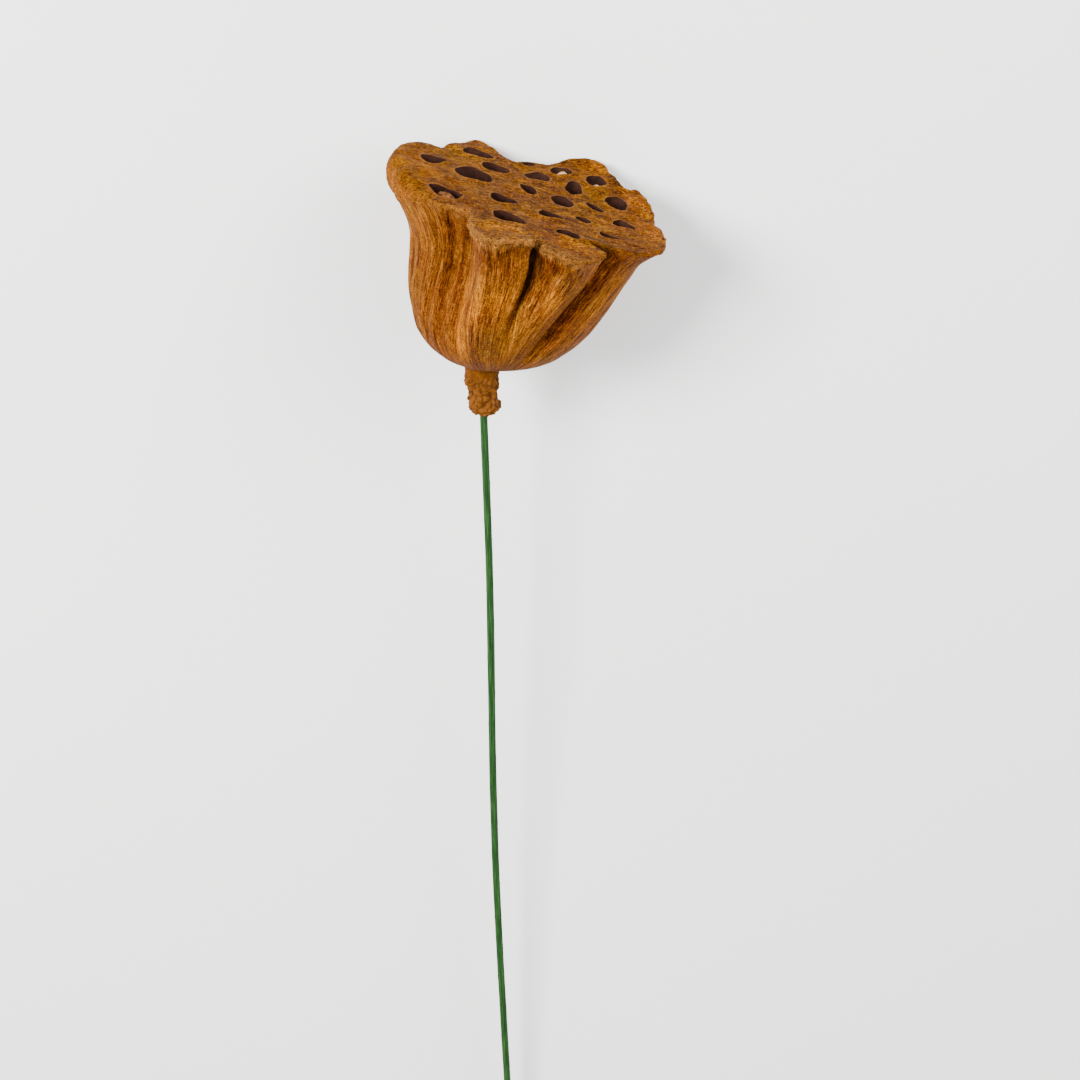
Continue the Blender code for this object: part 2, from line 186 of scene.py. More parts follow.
# ---- stalk stub and stem ----------------------------------------------------------------------
# the stub below the neck: height, radius, sideways place of its centre
STUB = np.array([
    (-15.0, 3.6, 0.4),
    (-13.8, 4.9, 0.6),
    (-10.0, 5.0, 0.5),
    (-7.0, 4.8, 0.3),
    (-3.0, 5.7, 0.0),
    (0.0, 5.4, 0.0),
])
# the stub's knobs: size, waves round it, and their turn for each mm up
KNOBS = [(0.25, 3, 0.9), (0.2, 5, -0.6)]
BLOCKS = 0.45  # the stub's cracked blocks to each mm
STEM_LENGTH = 380.0  # from the stub's end to the cut end
STEM_SLOPE = 0.027  # inside the stub
# the stem's slow bends: distance below the stub's end, sideways place
STEM = np.array([
    (0, 0.0),
    (30, 0.8),
    (60, 1.45),
    (100, 1.75),
    (135, 1.95),
    (170, 2.55),
    (205, 3.7),
    (240, 5.1),
    (300, 7.5),
    (380, 10.0),
])
WRAP_INNER = 0.85
WRAP_OUTER = 1.3
PLUG_DEPTH = 12.5  # how far the stem goes up into the stub
BORE_RADIUS = 1.5
BORE_DEPTH = 13.5

# ---- lying on the surface ---------------------------------------------------------------------
PITCH = 5.37  # degrees that the stem climbs towards the pod
ROLL = -5.36  # degrees that the pod turns about its stem
NECK_AT = (-14.22, 161.57, 37.16)  # the neck's place in the row frame

# ---- making -----------------------------------------------------------------------------------
COLUMNS = 300  # points round the pod before it is remeshed
ROWS = 170
# parts of the rows at which the stub, the wall, the lip and the top start, and the top ends
ROW_SHARES = (0.0, 0.11, 0.64, 0.70, 1.0)
STUB_END = 0.07  # part of the stub's rows that close its lower end
STUB_SIDE = 0.93  # part that goes up its side
VOXEL = 0.59  # the finished skin's facet size
WALL_HEIGHT = 55.0  # from the neck to the lip

# relief: height, waves to each unit or on each axis, the noise's shift, whether it makes ridges
FIBRES = [(0.12, (19, 19, 2.6), 0.0, True), (0.22, (7, 7, 1.6), 5.0, False),
          (0.10, (36, 36, 5.0), 9.0, False)]
WRINKLES = [(0.20, (0.16, 0.5, 0.5), 3.0, False), (0.75, 0.17, 7.0, False),
            (0.15, (0.3, 0.9, 0.9), 11.0, True)]
LIP_LUMPS = [(0.45, 0.6, 13.0, False), (0.3, 0.16, 17.0, False)]

# tints: factors on the skin's red, green and blue
GOLD = (2.4, 2.3, 0.25)
OCHRE = (1.45, 1.3, 0.6)
RUSSET = (0.68, 0.52, 0.45)
UMBER = (0.42, 0.34, 0.32)
ASH = (0.7, 0.8, 1.6)
PALE = (1.35, 1.45, 1.6)
DULL = (0.74, 0.72, 0.7)
MAROON = (0.34, 0.19, 0.17)
# tints on the top: place to the right and to the rear, half length, half width, tint, strength
TOP_TINTS = [
    (-5, -29, 8, 4, GOLD, 1.0),
    (3, -14, 4, 4, OCHRE, 0.8),
    (15, -27, 4, 5, GOLD, 1.0),
    (-33, 3, 6, 4, GOLD, 0.7),
    (-37, 10, 6, 8, OCHRE, 0.5),
    (-19, 19, 7, 3, OCHRE, 0.6),
    (-10, 42, 8, 5, GOLD, 0.6),
    (25, 42, 7, 6, GOLD, 0.6),
    (38, 24, 7, 8, GOLD, 0.8),
    (42, 3, 5, 6, GOLD, 0.9),
    (33, 10, 6, 4, OCHRE, 0.6),
    (26, 0, 6, 3, OCHRE, 0.6),
    (20, -25, 4, 4, OCHRE, 0.5),
    (-12, -20, 5, 6, UMBER, 0.6),
    (-14, -36, 4, 4, RUSSET, 0.7),
    (11, -20, 6, 4, UMBER, 0.6),
    (7, -23, 3, 5, RUSSET, 0.6),
    (29, 34, 2, 4, UMBER, 0.8),
    (33, 44, 4, 3, RUSSET, 0.7),
    (27, -22, 4, 4, ASH, 0.9),
    (35, -18, 5, 4, UMBER, 0.6),
    (37, -9, 6, 3, RUSSET, 0.5),
    (8, 18, 7, 4, RUSSET, 0.35),
    (-2, -5, 5, 4, RUSSET, 0.35),
    (-28, -4, 8, 5, RUSSET, 0.3),
    (-22, 33, 5, 4, RUSSET, 0.5),
]
# the smooth shoulder on the top: place to the right and to the rear, half length, half width
SHOULDER = (-36, 8, 17, 26)
# tints on the wall: bearing, how far up, half width in degrees, half height, tint, strength
WALL_TINTS = [
    (-172, 0.55, 14, 0.35, DULL, 0.9),
    (-155.5, 0.88, 2.6, 0.12, UMBER, 1.0),
    (-143, 0.88, 2.2, 0.12, UMBER, 1.0),
    (-133.5, 0.90, 2.0, 0.12, UMBER, 1.0),
    (-152, 0.70, 3.0, 0.14, UMBER, 0.8),
    (-143, 0.66, 2.2, 0.16, UMBER, 0.85),
    (-160, 0.62, 3.0, 0.22, RUSSET, 0.9),
    (-134, 0.70, 2.2, 0.16, RUSSET, 0.9),
    (-137, 0.45, 2.5, 0.22, RUSSET, 0.8),
    (-154, 0.42, 3.0, 0.2, RUSSET, 0.7),
    (-148.5, 0.86, 1.5, 0.14, GOLD, 0.5),
    (-165, 0.75, 3.0, 0.2, OCHRE, 0.6),
    (-122, 0.80, 3.0, 0.12, RUSSET, 0.8),
    (-114, 0.84, 4.0, 0.07, UMBER, 0.7),
    (-104, 0.86, 5.0, 0.06, UMBER, 0.6),
    (-96, 0.85, 5.0, 0.06, RUSSET, 0.7),
    (-98, 0.62, 7.0, 0.10, GOLD, 0.7),
    (-122, 0.52, 4.0, 0.16, GOLD, 0.8),
    (-120, 0.32, 8.0, 0.10, GOLD, 0.9),
    (-109, 0.55, 4.0, 0.12, GOLD, 0.6),
    (-99, 0.33, 8.0, 0.09, ASH, 0.9),
    (-88, 0.50, 2.5, 0.12, UMBER, 0.8),
    (-87, 0.66, 2.0, 0.14, UMBER, 0.8),
    # painted shade: dark down the shallow pleat at -74, beside the deep one at -81
    (-76, 0.92, 3.0, 0.09, MAROON, 1.0),
    (-76, 0.80, 2.5, 0.07, MAROON, 0.8),
    (-69, 0.84, 4.0, 0.06, ASH, 0.7),
    (-66, 0.97, 5.0, 0.03, PALE, 0.6),
    (-67, 0.66, 4.0, 0.10, GOLD, 0.6),
    (-58, 0.80, 4.0, 0.10, RUSSET, 0.6),
    (-74, 0.66, 2.5, 0.12, RUSSET, 0.6),
    # painted shade down the deep pleat at -40, over the wall's own reddish brown
    (-34, 0.90, 4.0, 0.14, MAROON, 1.0),
    (-33, 0.70, 3.0, 0.16, MAROON, 1.0),
    (-34, 0.50, 2.5, 0.16, MAROON, 0.9),
    (-38, 0.92, 4.0, 0.10, UMBER, 0.9),
    (-24, 0.84, 2.5, 0.14, RUSSET, 0.8),
    (-16, 0.80, 2.5, 0.16, RUSSET, 0.7),
    (-20, 0.60, 4.0, 0.15, OCHRE, 0.5),
    (0, 0.93, 7.0, 0.05, ASH, 0.6),
]

# ---- stage settings ---------------------------------------------------------------------------
LENS = 91.33
CAMERA_AT = (-71.45, 424.62, 870.64)
CAMERA_FORWARD = (0.0846, -0.3589, -0.9296)
CAMERA_UP = (0.0325, 0.9334, -0.3574)
LIGHT_AIM = (0.01, 0.19, 0.04)
# name, place and size in metres, power
LIGHTS = [("key_light", (-0.7, 0.55, 0.9), 0.4, 36), ("fill_light", (0.8, 0.7, 0.7), 1.0, 18)]


# ---- the form ---------------------------------------------------------------------------------
def smooth(at, knots, values):
    """A smooth curve through given values, with each slope taken from the neighbours."""
    slopes = np.gradient(values, knots)
    i = np.clip(np.searchsorted(knots, at, side="right") - 1, 0, len(knots) - 2)
    gap = knots[i + 1] - knots[i]
    f = np.clip((at - knots[i]) / gap, 0.0, 1.0)
    start = (1 + 2 * f) * values[i] + f * gap * slopes[i]
    end = (3 - 2 * f) * values[i + 1] - (1 - f) * gap * slopes[i + 1]
    return (1 - f) ** 2 * start + f ** 2 * end


def step(x):
    """An easy rise from 0 to 1."""
    x = np.clip(x, 0.0, 1.0)
    return x * x * (3 - 2 * x)


def hump(*offs):
    """1 in the middle, falling off with each distance from it."""
    return np.exp(-sum(off ** 2 for off in offs))


def wrapped(bearing):
    """A bearing from -180 to 180 degrees."""
    return (bearing + 180) % 360 - 180


def on_stretch(bearing, stretch):
    """1 on a stretch of the rim, easing to 0 at its ends."""
    middle, half_width, full = stretch
    return step(full - np.abs(bearing - middle) / half_width)


def ripples(table, around, along, start=0.0):
    """Waves round a ring, which turn as they go along."""
    for size, count, turn in table:
        start = start + size * np.sin(count * around + turn * along)
    return start


def circle(around, third, radius=1.0):
    """Points round a circle, with any third coordinate."""
    return np.stack([radius * np.cos(around), radius * np.sin(around), third], axis=-1)


def rim(bearing, column):
    """A column of the RIM table at any bearing, going round without a seam."""
    turn = np.array([360.0, 0, 0, 0])
    table = np.vstack([RIM - turn, RIM, RIM + turn])
    return smooth(wrapped(bearing), table[:, 0], table[:, column])


def pleat(bearing, up):
    """Depth of the pleats and the turn that folds them, at a bearing and a way up the wall."""
    depth = np.zeros_like(bearing)
    fold = np.zeros_like(bearing)
    for at, deep, half_width, lean, start in PLEATS:
        off = wrapped(bearing - at)
        notch = np.cos(np.clip(off / half_width, -1, 1) * np.pi / 2) ** 2
        reach = step((up - start) / PLEAT_RISE)
        depth += deep * notch * reach
        fold += lean * notch * reach
    return depth, fold


def swirl(bearing, up):
    """Degrees that the wall turns about the neck, most near SWIRL_BEARING and low down."""
    share = (0.5 + 0.5 * np.cos(np.radians(bearing - SWIRL_BEARING))) ** SWIRL_SPREAD
    return SWIRL * share * (1 - np.clip(up, 0, 1)) ** 1.5


def place(radius, bearing, height):
    """Standing place of a point of a section: sections shift right and lean as they rise."""
    up = np.clip((height - BASE) / (TOP_CENTRE[1] - BASE), 0, 1)
    lean = np.radians(TOP_TILT) * up ** 2
    over = np.maximum(height - TOP_CENTRE[1], 0)
    centre_x = smooth(up, WALL[:, 0], WALL[:, 1]) + over * np.sin(lean)
    centre_z = height - over + over * np.cos(lean)
    along = radius * np.cos(np.radians(bearing))
    return np.stack([centre_x + along * np.cos(lean),
                     radius * np.sin(np.radians(bearing)),
                     centre_z - along * np.sin(lean)], axis=-1)


def wall_point(bearing, up):
    """The fluted side, from the neck (up = 0) to the underside of the lip (up = 1)."""
    lip = rim(bearing, 3)
    edge = rim(bearing, 1) - LIP_UNDER[0] * lip
    height = BASE + up * (TOP_CENTRE[1] + rim(bearing, 2) - LIP_UNDER[1] * lip - BASE)
    front = on_stretch(bearing, FRONT)
    plain, full = [smooth(up, WALL[:, 0], WALL[:, column]) for column in (2, 3)]
    part = plain * (1 - front) + full * front
    radius = part * (MEAN_RIM + (edge - MEAN_RIM) * step(up / 0.8))
    at, half_width, low, half_height, out = HEEL
    radius += out * hump((bearing - at) / half_width, (up - low) / half_height)
    depth, fold = pleat(bearing, up)
    return place(radius - depth, bearing - fold - swirl(bearing, up), height)


def lip_point(bearing, roll):
    """The rim's lip, from its underside (roll = 0) over its widest place to its top (roll = 1)."""
    lip = rim(bearing, 3)
    depth, fold = pleat(bearing, np.ones_like(bearing))
    turn = np.radians(LIP_TURN[0] + LIP_TURN[1] * roll)
    radius = rim(bearing, 1) - LIP_HALF_WIDTH * lip * (1 - np.cos(turn)) - depth
    height = TOP_CENTRE[1] + rim(bearing, 2) + (LIP_HALF_HEIGHT * np.sin(turn) - LIP_MIDDLE) * lip
    return place(radius, bearing - fold, height)


def top_edge(bearing):
    """Radius and height at which the top meets its lip."""
    lip = rim(bearing, 3)
    return rim(bearing, 1) - LIP_OVER[0] * lip, rim(bearing, 2) - LIP_OVER[1] * lip


def top_point(bearing, out):
    """The top, from its middle (out = 0) to the lip (out = 1)."""
    edge, rise = top_edge(bearing)
    depth, fold = pleat(bearing, np.ones_like(bearing))
    height = rise * out ** 3 - 0.09 * depth * out ** 6
    return place(out * (edge - depth * out ** 2), bearing - fold * out ** 4, TOP_CENTRE[1] + height)


def stub_point(bearing, height, share):
    """The knobbly stalk stub, at a share of its radius."""
    radius = smooth(height, STUB[:, 0], STUB[:, 1])
    around = np.radians(bearing)
    radius = (radius + ripples(KNOBS, around, height) * step(-height / 3)) * share
    centre = smooth(height, STUB[:, 0], STUB[:, 2])
    return np.stack([centre + radius * np.cos(around), radius * np.sin(around), height], axis=-1)


def pod_point(bearing, way):
    """The whole skin: way 0 to 1 goes up the stub, to 2 up the wall, to 3 over the lip, to 4 in
    over the top to its middle."""
    share = [way / STUB_END, (way - STUB_END) / STUB_SIDE, way - 1, way - 2, way - 3]
    end, side, up, roll, inward = np.clip(share, 0, 1)
    parts = [stub_point(bearing, STUB[0, 0] * (1 - side), end), wall_point(bearing, up),
             lip_point(bearing, roll), top_point(bearing, 1 - inward)]
    which = np.clip(np.ceil(way).astype(int) - 1, 0, 3)[:, None]
    return np.choose(which, parts)


def way_at(row):
    """The way along the whole skin at a share of the grid's rows."""
    return np.interp(row, ROW_SHARES, [0, 1, 2, 3, 4])


def outline(number, around):
    """A socket's torn mouth against its plain oval."""
    return ripples(RAGGED, around, number, 1.0)


def socket_point(socket, ahead, aside, depth):
    """A place in a socket: along and across its mouth as parts of its half sizes, and down."""
    right, rear, length, width, turn, point, _ = socket
    along = 0.5 * length * ahead
    across = 0.5 * width * aside * (1 - point * (1 + ahead) / 2)
    turn = np.radians(turn)
    lean = 1 - SOCKET_LEAN * np.maximum(depth, 0)
    a = right * lean + along * np.cos(turn) - across * np.sin(turn)
    b = rear * lean + along * np.sin(turn) + across * np.cos(turn)
    edge, rise = top_edge(np.degrees(np.arctan2(rear, right)))
    surface = rise * (np.hypot(right, rear) / edge) ** 3
    tilt = np.radians(TOP_TILT)
    height = surface - depth
    return np.stack([TOP_CENTRE[0] + a * np.cos(tilt) + height * np.sin(tilt), b,
                     TOP_CENTRE[1] - a * np.sin(tilt) + height * np.cos(tilt)], axis=-1)


def stem_point(down):
    """Middle of the stem, at a distance below the stub's end, or above it if negative."""
    sideways = STEM_SLOPE * np.minimum(down, 0)
    sideways = sideways + smooth(np.maximum(down, 0), STEM[:, 0], STEM[:, 1])
    return np.stack([sideways + STUB[0, 2], 0 * down, STUB[0, 0] - down], axis=-1)


# ---- mesh helpers -----------------------------------------------------------------------------
def lying_turn():
    """The turn from the standing drawing to the row frame."""
    turn = Euler((np.radians(PITCH - 90), 0, 0)).to_matrix()
    return Euler((0, np.radians(ROLL), 0)).to_matrix() @ turn


def laid(points):
    """Turn standing places in millimetres into the row frame's metres."""
    return (np.asarray(points) @ np.array(lying_turn()).T + np.array(NECK_AT)) * MM


def stood(points):
    """Turn the row frame's metres back into standing millimetres."""
    return (np.asarray(points) / MM - np.array(NECK_AT)) @ np.array(lying_turn())


def points_of(piece):
    """A mesh's points as an array."""
    flat = np.empty(len(piece.data.vertices) * 3)
    piece.data.vertices.foreach_get("co", flat)
    return flat.reshape(-1, 3)


def put_points(piece, points):
    """Move a mesh's points."""
    piece.data.vertices.foreach_set("co", np.ascontiguousarray(points, dtype=float).ravel())
    piece.data.update()


def put_above_table(piece, points):
    """Move a mesh's points, and lift those that would go through the table."""
    points[:, 2] = np.maximum(points[:, 2], 0.0)
    put_points(piece, points)


def normals_of(piece):
    """The outward direction at each of a mesh's points."""
    flat = np.empty(len(piece.data.vertices) * 3, dtype=np.float32)
    piece.data.vertex_normals.foreach_get("vector", flat)
    return flat.reshape(-1, 3).astype(float)


def paint(piece, name, kind, values):
    """Store a vector or colour at each of a mesh's points, for its material."""
    field = {"FLOAT_VECTOR": "vector", "FLOAT_COLOR": "color"}[kind]
    layer = piece.data.attributes.new(name, kind, "POINT")
    layer.data.foreach_set(field, np.ascontiguousarray(values, dtype=float).ravel())


def only(piece):
    """Select one piece and nothing else."""
    bpy.ops.object.select_all(action="DESELECT")
    piece.select_set(True)
    bpy.context.view_layer.objects.active = piece


def shaped_grid(name, columns, rows, shape):
    """A grid primitive wrapped into a closed skin: each point goes where shape says, by its share
    of the way across and up, and the meeting edges are then merged."""
    bpy.ops.object.select_all(action="DESELECT")
    bpy.ops.mesh.primitive_grid_add(x_subdivisions=columns, y_subdivisions=rows, size=1)
    made = bpy.context.object
    made.name = name
    made.data.name = name
    share = points_of(made)[:, :2] + 0.5
    put_points(made, laid(shape(share[:, 0], share[:, 1])))
    bpy.ops.object.mode_set(mode="EDIT")
    bpy.ops.mesh.select_all(action="SELECT")
    bpy.ops.mesh.remove_doubles(threshold=2e-6)
    bpy.ops.mesh.normals_make_consistent(inside=False)
    bpy.ops.object.mode_set(mode="OBJECT")
    bpy.ops.object.shade_smooth()
    return made


def finish_with(piece, kind, **settings):
    """Add a modifier and apply it."""
    only(piece)
    made = piece.modifiers.new(kind.lower(), kind)
    for name, value in settings.items():
        setattr(made, name, value)
    bpy.ops.object.modifier_apply(modifier=made.name)


def waves(points, scale, shift=0.0):
    """Smooth noise from -1 to 1 at each point, with scale waves to each unit, or to each axis."""
    moved = points * np.asarray(scale) + shift
    return np.array([noise.noise(spot) for spot in moved.tolist()])


def relief(points, layers):
    """Layers of noise added up, each as it is or folded into ridges."""
    total = 0.0
    for height, scale, shift, ridged in layers:
        layer = waves(points, scale, shift)
        total = total + height * (1 - 2 * np.abs(layer) if ridged else layer)
    return total


def cells(points, scale):
    """Cracks between rounded blocks: 0 along each crack, more in the middle of a block."""
    found = [noise.voronoi(spot)[0] for spot in (points * scale).tolist()]
    return np.array([near[1] - near[0] for near in found])


def blocks(spots):
    """The cracks between the stub's blocks, which have uneven sides."""
    push = np.stack([waves(spots, 0.5, shift) for shift in (41.0, 43.0, 47.0)], axis=-1)
    return cells(spots + 0.9 * push, BLOCKS)


def wear(piece, material):
    """Give a piece one material."""
    piece.data.materials.clear()
    piece.data.materials.append(material)


# ---- the pod ----------------------------------------------------------------------------------
def cut_away(target, tool, lining):
    """Take a tool's volume out of a piece, line the cut, and throw the tool away."""
    wear(tool, lining)
    finish_with(target, "BOOLEAN", operation="DIFFERENCE", object=tool, solver="MANIFOLD",
                material_mode="TRANSFER")
    bpy.data.objects.remove(tool)


def socket_cutter(number, socket):
    """A tapered plug with a socket's uneven outline, from well above its mouth to its floor."""
    depth = socket[6]
    above = -OVERSHOOT[0]
    knots = [0.0, 0.2, 0.7, 0.9, 1.0]

    def shape(across, up):
        around = 2 * np.pi * across
        down = np.interp(up, knots, [above, above, SOCKET_STRAIGHT * depth, depth, depth])
        size = np.interp(up, knots, [0.0, 1.0, 1.0, SOCKET_FLOOR, 0.0]) * outline(number, around)
        folds = waves(circle(around, 0.12 * down), (3, 3, 1), number)
        size = size * (1 + 0.08 * step(down / 3) * folds)
        return socket_point(socket, size * np.cos(around), size * np.sin(around), down)

    return shaped_grid(f"cutter_{number}", 56, 16, shape)


def bore_cutter():
    """The hole up the stub that the stem sits in."""
    below = -OVERSHOOT[1]
    knots = [0.0, 0.1, 0.9, 1.0]

    def shape(across, up):
        middle = stem_point(-np.interp(up, knots, [below, below, BORE_DEPTH, BORE_DEPTH]))
        radius = np.interp(up, knots, [0, BORE_RADIUS, BORE_RADIUS, 0])
        return middle + circle(2 * np.pi * across, 0 * up, radius)

    return shaped_grid("bore_cutter", 24, 10, shape)


def skin_places(pod, tree, bearings, ways):
    """Where each point of the pod lies on the drawn skin: its standing place, bearing and way.
    The nearest of the drawn points in the tree is found, then slid along the skin."""
    spots = stood(points_of(pod))
    nearest = np.array([tree.find(spot)[1] for spot in spots.tolist()])
    bearing, way = bearings[nearest], ways[nearest]
    small = np.array([0.2, 0.004])  # the test steps: in degrees, and along the way
    for _ in range(3):
        here = pod_point(bearing, way)
        inner = np.where((way + small[1]) % 1 < way % 1, -1.0, 1.0)
        round_it = (pod_point(bearing + small[0], way) - here) / small[0]
        up_it = (pod_point(bearing, way + inner * small[1]) - here) / (inner * small[1])[:, None]
        off = spots - here
        rr, uu, ru = [(p * q).sum(1) for p, q in
                      ((round_it, round_it), (up_it, up_it), (round_it, up_it))]
        ro, uo = (round_it * off).sum(1), (up_it * off).sum(1)
        base = rr * uu - ru ** 2 + 1e-9
        region = np.clip(np.ceil(way), 1, 4)
        bearing = bearing + np.clip((uu * ro - ru * uo) / base, -1.2, 1.2)
        way = way + np.clip((rr * uo - ru * ro) / base, -0.03, 0.03)
        way = np.clip(way, region - 0.9999, region)
    return spots, wrapped(bearing), way


def make_pod():
    """The receptacle and its stub as one skin: drawn, worked all over, then its sockets cut."""
    pod = shaped_grid("pod_skin", COLUMNS, ROWS,
                      lambda across, up: pod_point(360 * across - 180, way_at(up)))
    across, up = np.meshgrid(np.arange(COLUMNS) / COLUMNS, np.linspace(0, 1, ROWS + 1))
    bearings = 360 * across.ravel() - 180
    ways = way_at(up.ravel())
    tree = kdtree.KDTree(len(bearings))
    for i, spot in enumerate(pod_point(bearings, ways).tolist()):
        tree.insert(spot, i)
    tree.balance()
    finish_with(pod, "REMESH", mode="VOXEL", voxel_size=VOXEL * MM)
    work_skin(pod, *skin_places(pod, tree, bearings, ways))
    wear(pod, dried_receptacle())
    lining = socket_lining()
    for number, socket in enumerate(SOCKETS):
        cut_away(pod, socket_cutter(number, socket), lining)
    cut_away(pod, bore_cutter(), lining)
    colour_skin(pod, *skin_places(pod, tree, bearings, ways))
    only(pod)
    bpy.ops.object.shade_smooth_by_angle(angle=np.radians(60))
    return pod


def top_plane(spots):
    """Places to the right and to the rear on the top's plane."""
    tilt = np.radians(TOP_TILT)
    right = spots[:, 0] - TOP_CENTRE[0]
    return right * np.cos(tilt) - (spots[:, 2] - TOP_CENTRE[1]) * np.sin(tilt), spots[:, 1]


def near_sockets(spots):
    """Distance in mm from each point to the nearest socket's edge, measured on the top's plane."""
    a, b = top_plane(spots)
    best = np.full(len(spots), 99.0)
    for number, (right, rear, length, width, turn, point, _) in enumerate(SOCKETS):
        turn = np.radians(turn)
        x = (a - right) * np.cos(turn) + (b - rear) * np.sin(turn)
        y = -(a - right) * np.sin(turn) + (b - rear) * np.cos(turn)
        ahead = x / (0.5 * length)
        y = y / np.clip(1 - point * (1 + ahead) / 2, 0.3, 1)
        aside = y / (0.5 * width)
        reach = np.hypot(ahead, aside)
        edge = outline(number, np.arctan2(aside, ahead))
        best = np.minimum(best, (reach - edge) / (reach + 1e-6) * np.hypot(x, y))
    return best


def skin_parts(bearing, way):
    """How much each point belongs to the top, the stub and the crumbling front edge, and how much
    it belongs to the drawn-in strip of wall just under that edge."""
    top = step((way - 2.35) / 0.5)
    stub = 1 - step((way - 0.85) / 0.2)
    front = on_stretch(bearing, CRUMBLING)
    below = WALL_HEIGHT * np.maximum(2 - way, 0)  # mm under the lip
    edge = hump(below / 1.8) * (1 - step((way - 2.7) / 0.5)) * front
    return top, stub, edge, hump((below - 5.0) / 3.5) * front


def ring_of(bearing, way):
    """Coordinates that follow the fibres: a circle for the bearing, and the way up."""
    return circle(np.radians(bearing), way - 1)


def work_skin(pod, spots, bearing, way):
    """Fibres, wrinkles, warts, a torn front edge and raised socket lips, in real relief."""
    up = np.clip(way - 1, 0, 1)
    ring = ring_of(bearing, way)
    top, stub, edge, under = skin_parts(bearing, way)
    # the sides' fibres, fainter near the neck, and the top's wrinkles
    shift = (1 - top) * (1 - stub) * (0.35 + 0.65 * step(up / 0.35)) * relief(ring, FIBRES)
    shift += top * relief(spots, WRINKLES)
    # the lip's lumps, its torn stretch and its tear
    lip = hump((way - 2.5) / 0.4)
    shift += lip * relief(spots, LIP_LUMPS)
    tear = 0.6 * hump((bearing - TEAR[0]) / TEAR[1])
    shift += lip * on_stretch(bearing, TORN) * (0.7 * waves(spots, 0.38, 37.0) - tear)
    # the stub's blocks, the sockets' raised edges, the crumbling edge and the strip under it
    knobs = 1.3 * np.minimum(blocks(spots), 0.5) + 0.4 * waves(spots, 0.9, 23.0) - 0.5
    shift += stub * knobs
    shift += 0.3 * top * hump(np.maximum(near_sockets(spots), 0) / 0.9)
    crumbs = 0.45 + 0.7 * waves(ring, (24, 24, 3), 29.0) + 0.9 * waves(spots, 0.55, 19.0)
    shift += edge * crumbs
    shift -= under * (0.5 + 0.8 * waves(spots, 0.25, 53.0))
    put_above_table(pod, points_of(pod) + normals_of(pod) * (shift * MM)[:, None])


def colour_skin(pod, spots, bearing, way):
    """What the skin's material reads at each point."""
    up = np.where(way > 2, 1.0, np.clip(way - 1, 0, 1))
    top, stub, edge, _ = skin_parts(bearing, way)
    # painted shade: darkest where the pleats are deepest, fading out over the lip; the stub's
    # cracks are darkened with it
    pleat_shade_and_cracks = step((pleat(bearing, up)[0] - 1.6) / 4.0) * (1 - step((way - 2.6) / 0.3))
    pleat_shade_and_cracks = np.maximum(pleat_shade_and_cracks, stub * (1 - step(blocks(spots) / 0.25)))
    raised = top * hump(near_sockets(spots) / 0.6)
    a, b = top_plane(spots)
    right, rear, long, wide = SHOULDER
    calm = hump((a - right) / long, (b - rear) / wide) * step((way - 1.7) / 0.5)
    ones = np.ones_like(way)
    paint(pod, "fibre", "FLOAT_VECTOR", ring_of(bearing, way))
    paint(pod, "zone", "FLOAT_COLOR", np.stack([top, stub, calm, ones], axis=-1))
    paint(pod, "shade_and_marks", "FLOAT_COLOR", np.stack([pleat_shade_and_cracks, edge, raised, ones], axis=-1))
    paint(pod, "stain_and_shade", "FLOAT_COLOR", stains_and_shade(spots, bearing, way))


def stains_and_shade(spots, bearing, way):
    """Listed tints that multiply the skin's colour."""
    # most tints are the skin's own stains and colour patches; some are painted shade in the deep
    # pleats and under the crumbling edge
    tint = np.ones((len(way), 4))
    a, b = top_plane(spots)
    break_up = 0.8 + 0.6 * waves(spots, 0.35, 31.0)

    def blend(share, colour):
        share = np.clip(share, 0, 1)[:, None]
        tint[:, :3] = tint[:, :3] * (1 - share) + share * np.array(colour)

    for right, rear, long, wide, colour, strength in TOP_TINTS:
        near = hump((a - right) / long, (b - rear) / wide) * step((way - 2.2) / 0.4)
        blend(near * strength * break_up, colour)
    # painted shade: the strip of wall under the crumbling edge is darkened, for the shadow of the
    # overhanging edge
    under = skin_parts(bearing, way)[3]
    blend(under * (0.45 + 1.1 * waves(spots, 0.3, 59.0)), UMBER)
    for at, height, wide, tall, colour, strength in WALL_TINTS:
        near = hump(wrapped(bearing - at) / wide, (way - 1 - height) / tall)
        blend(near * strength * break_up, colour)
    return tint


# ---- seeds ------------------------------------------------------------------------------------
def make_seed(number, seed):
    """A shrivelled seed standing in its socket, its skin drawn into wrinkles."""
    index, along, beside, half_length, half_width, half_height, depth = seed
    socket = SOCKETS[index]

    def shape(across, up):
        polar = np.pi * up
        around = 2 * np.pi * across
        way = circle(around, 2.0 * up)
        body = 1 - 0.10 * np.abs(waves(way, (3, 3, 2), number))
        body = body - 0.05 * np.abs(waves(way, (8, 8, 3), number))
        ahead = (along + half_length * np.sin(polar) * np.cos(around) * body) / (0.5 * socket[2])
        aside = (beside + half_width * np.sin(polar) * np.sin(around) * body) / (0.5 * socket[3])
        return socket_point(socket, ahead, aside, depth - half_height * np.cos(polar) * body)

    return shaped_grid(f"shrivelled_seed_{number}", 48, 40, shape)


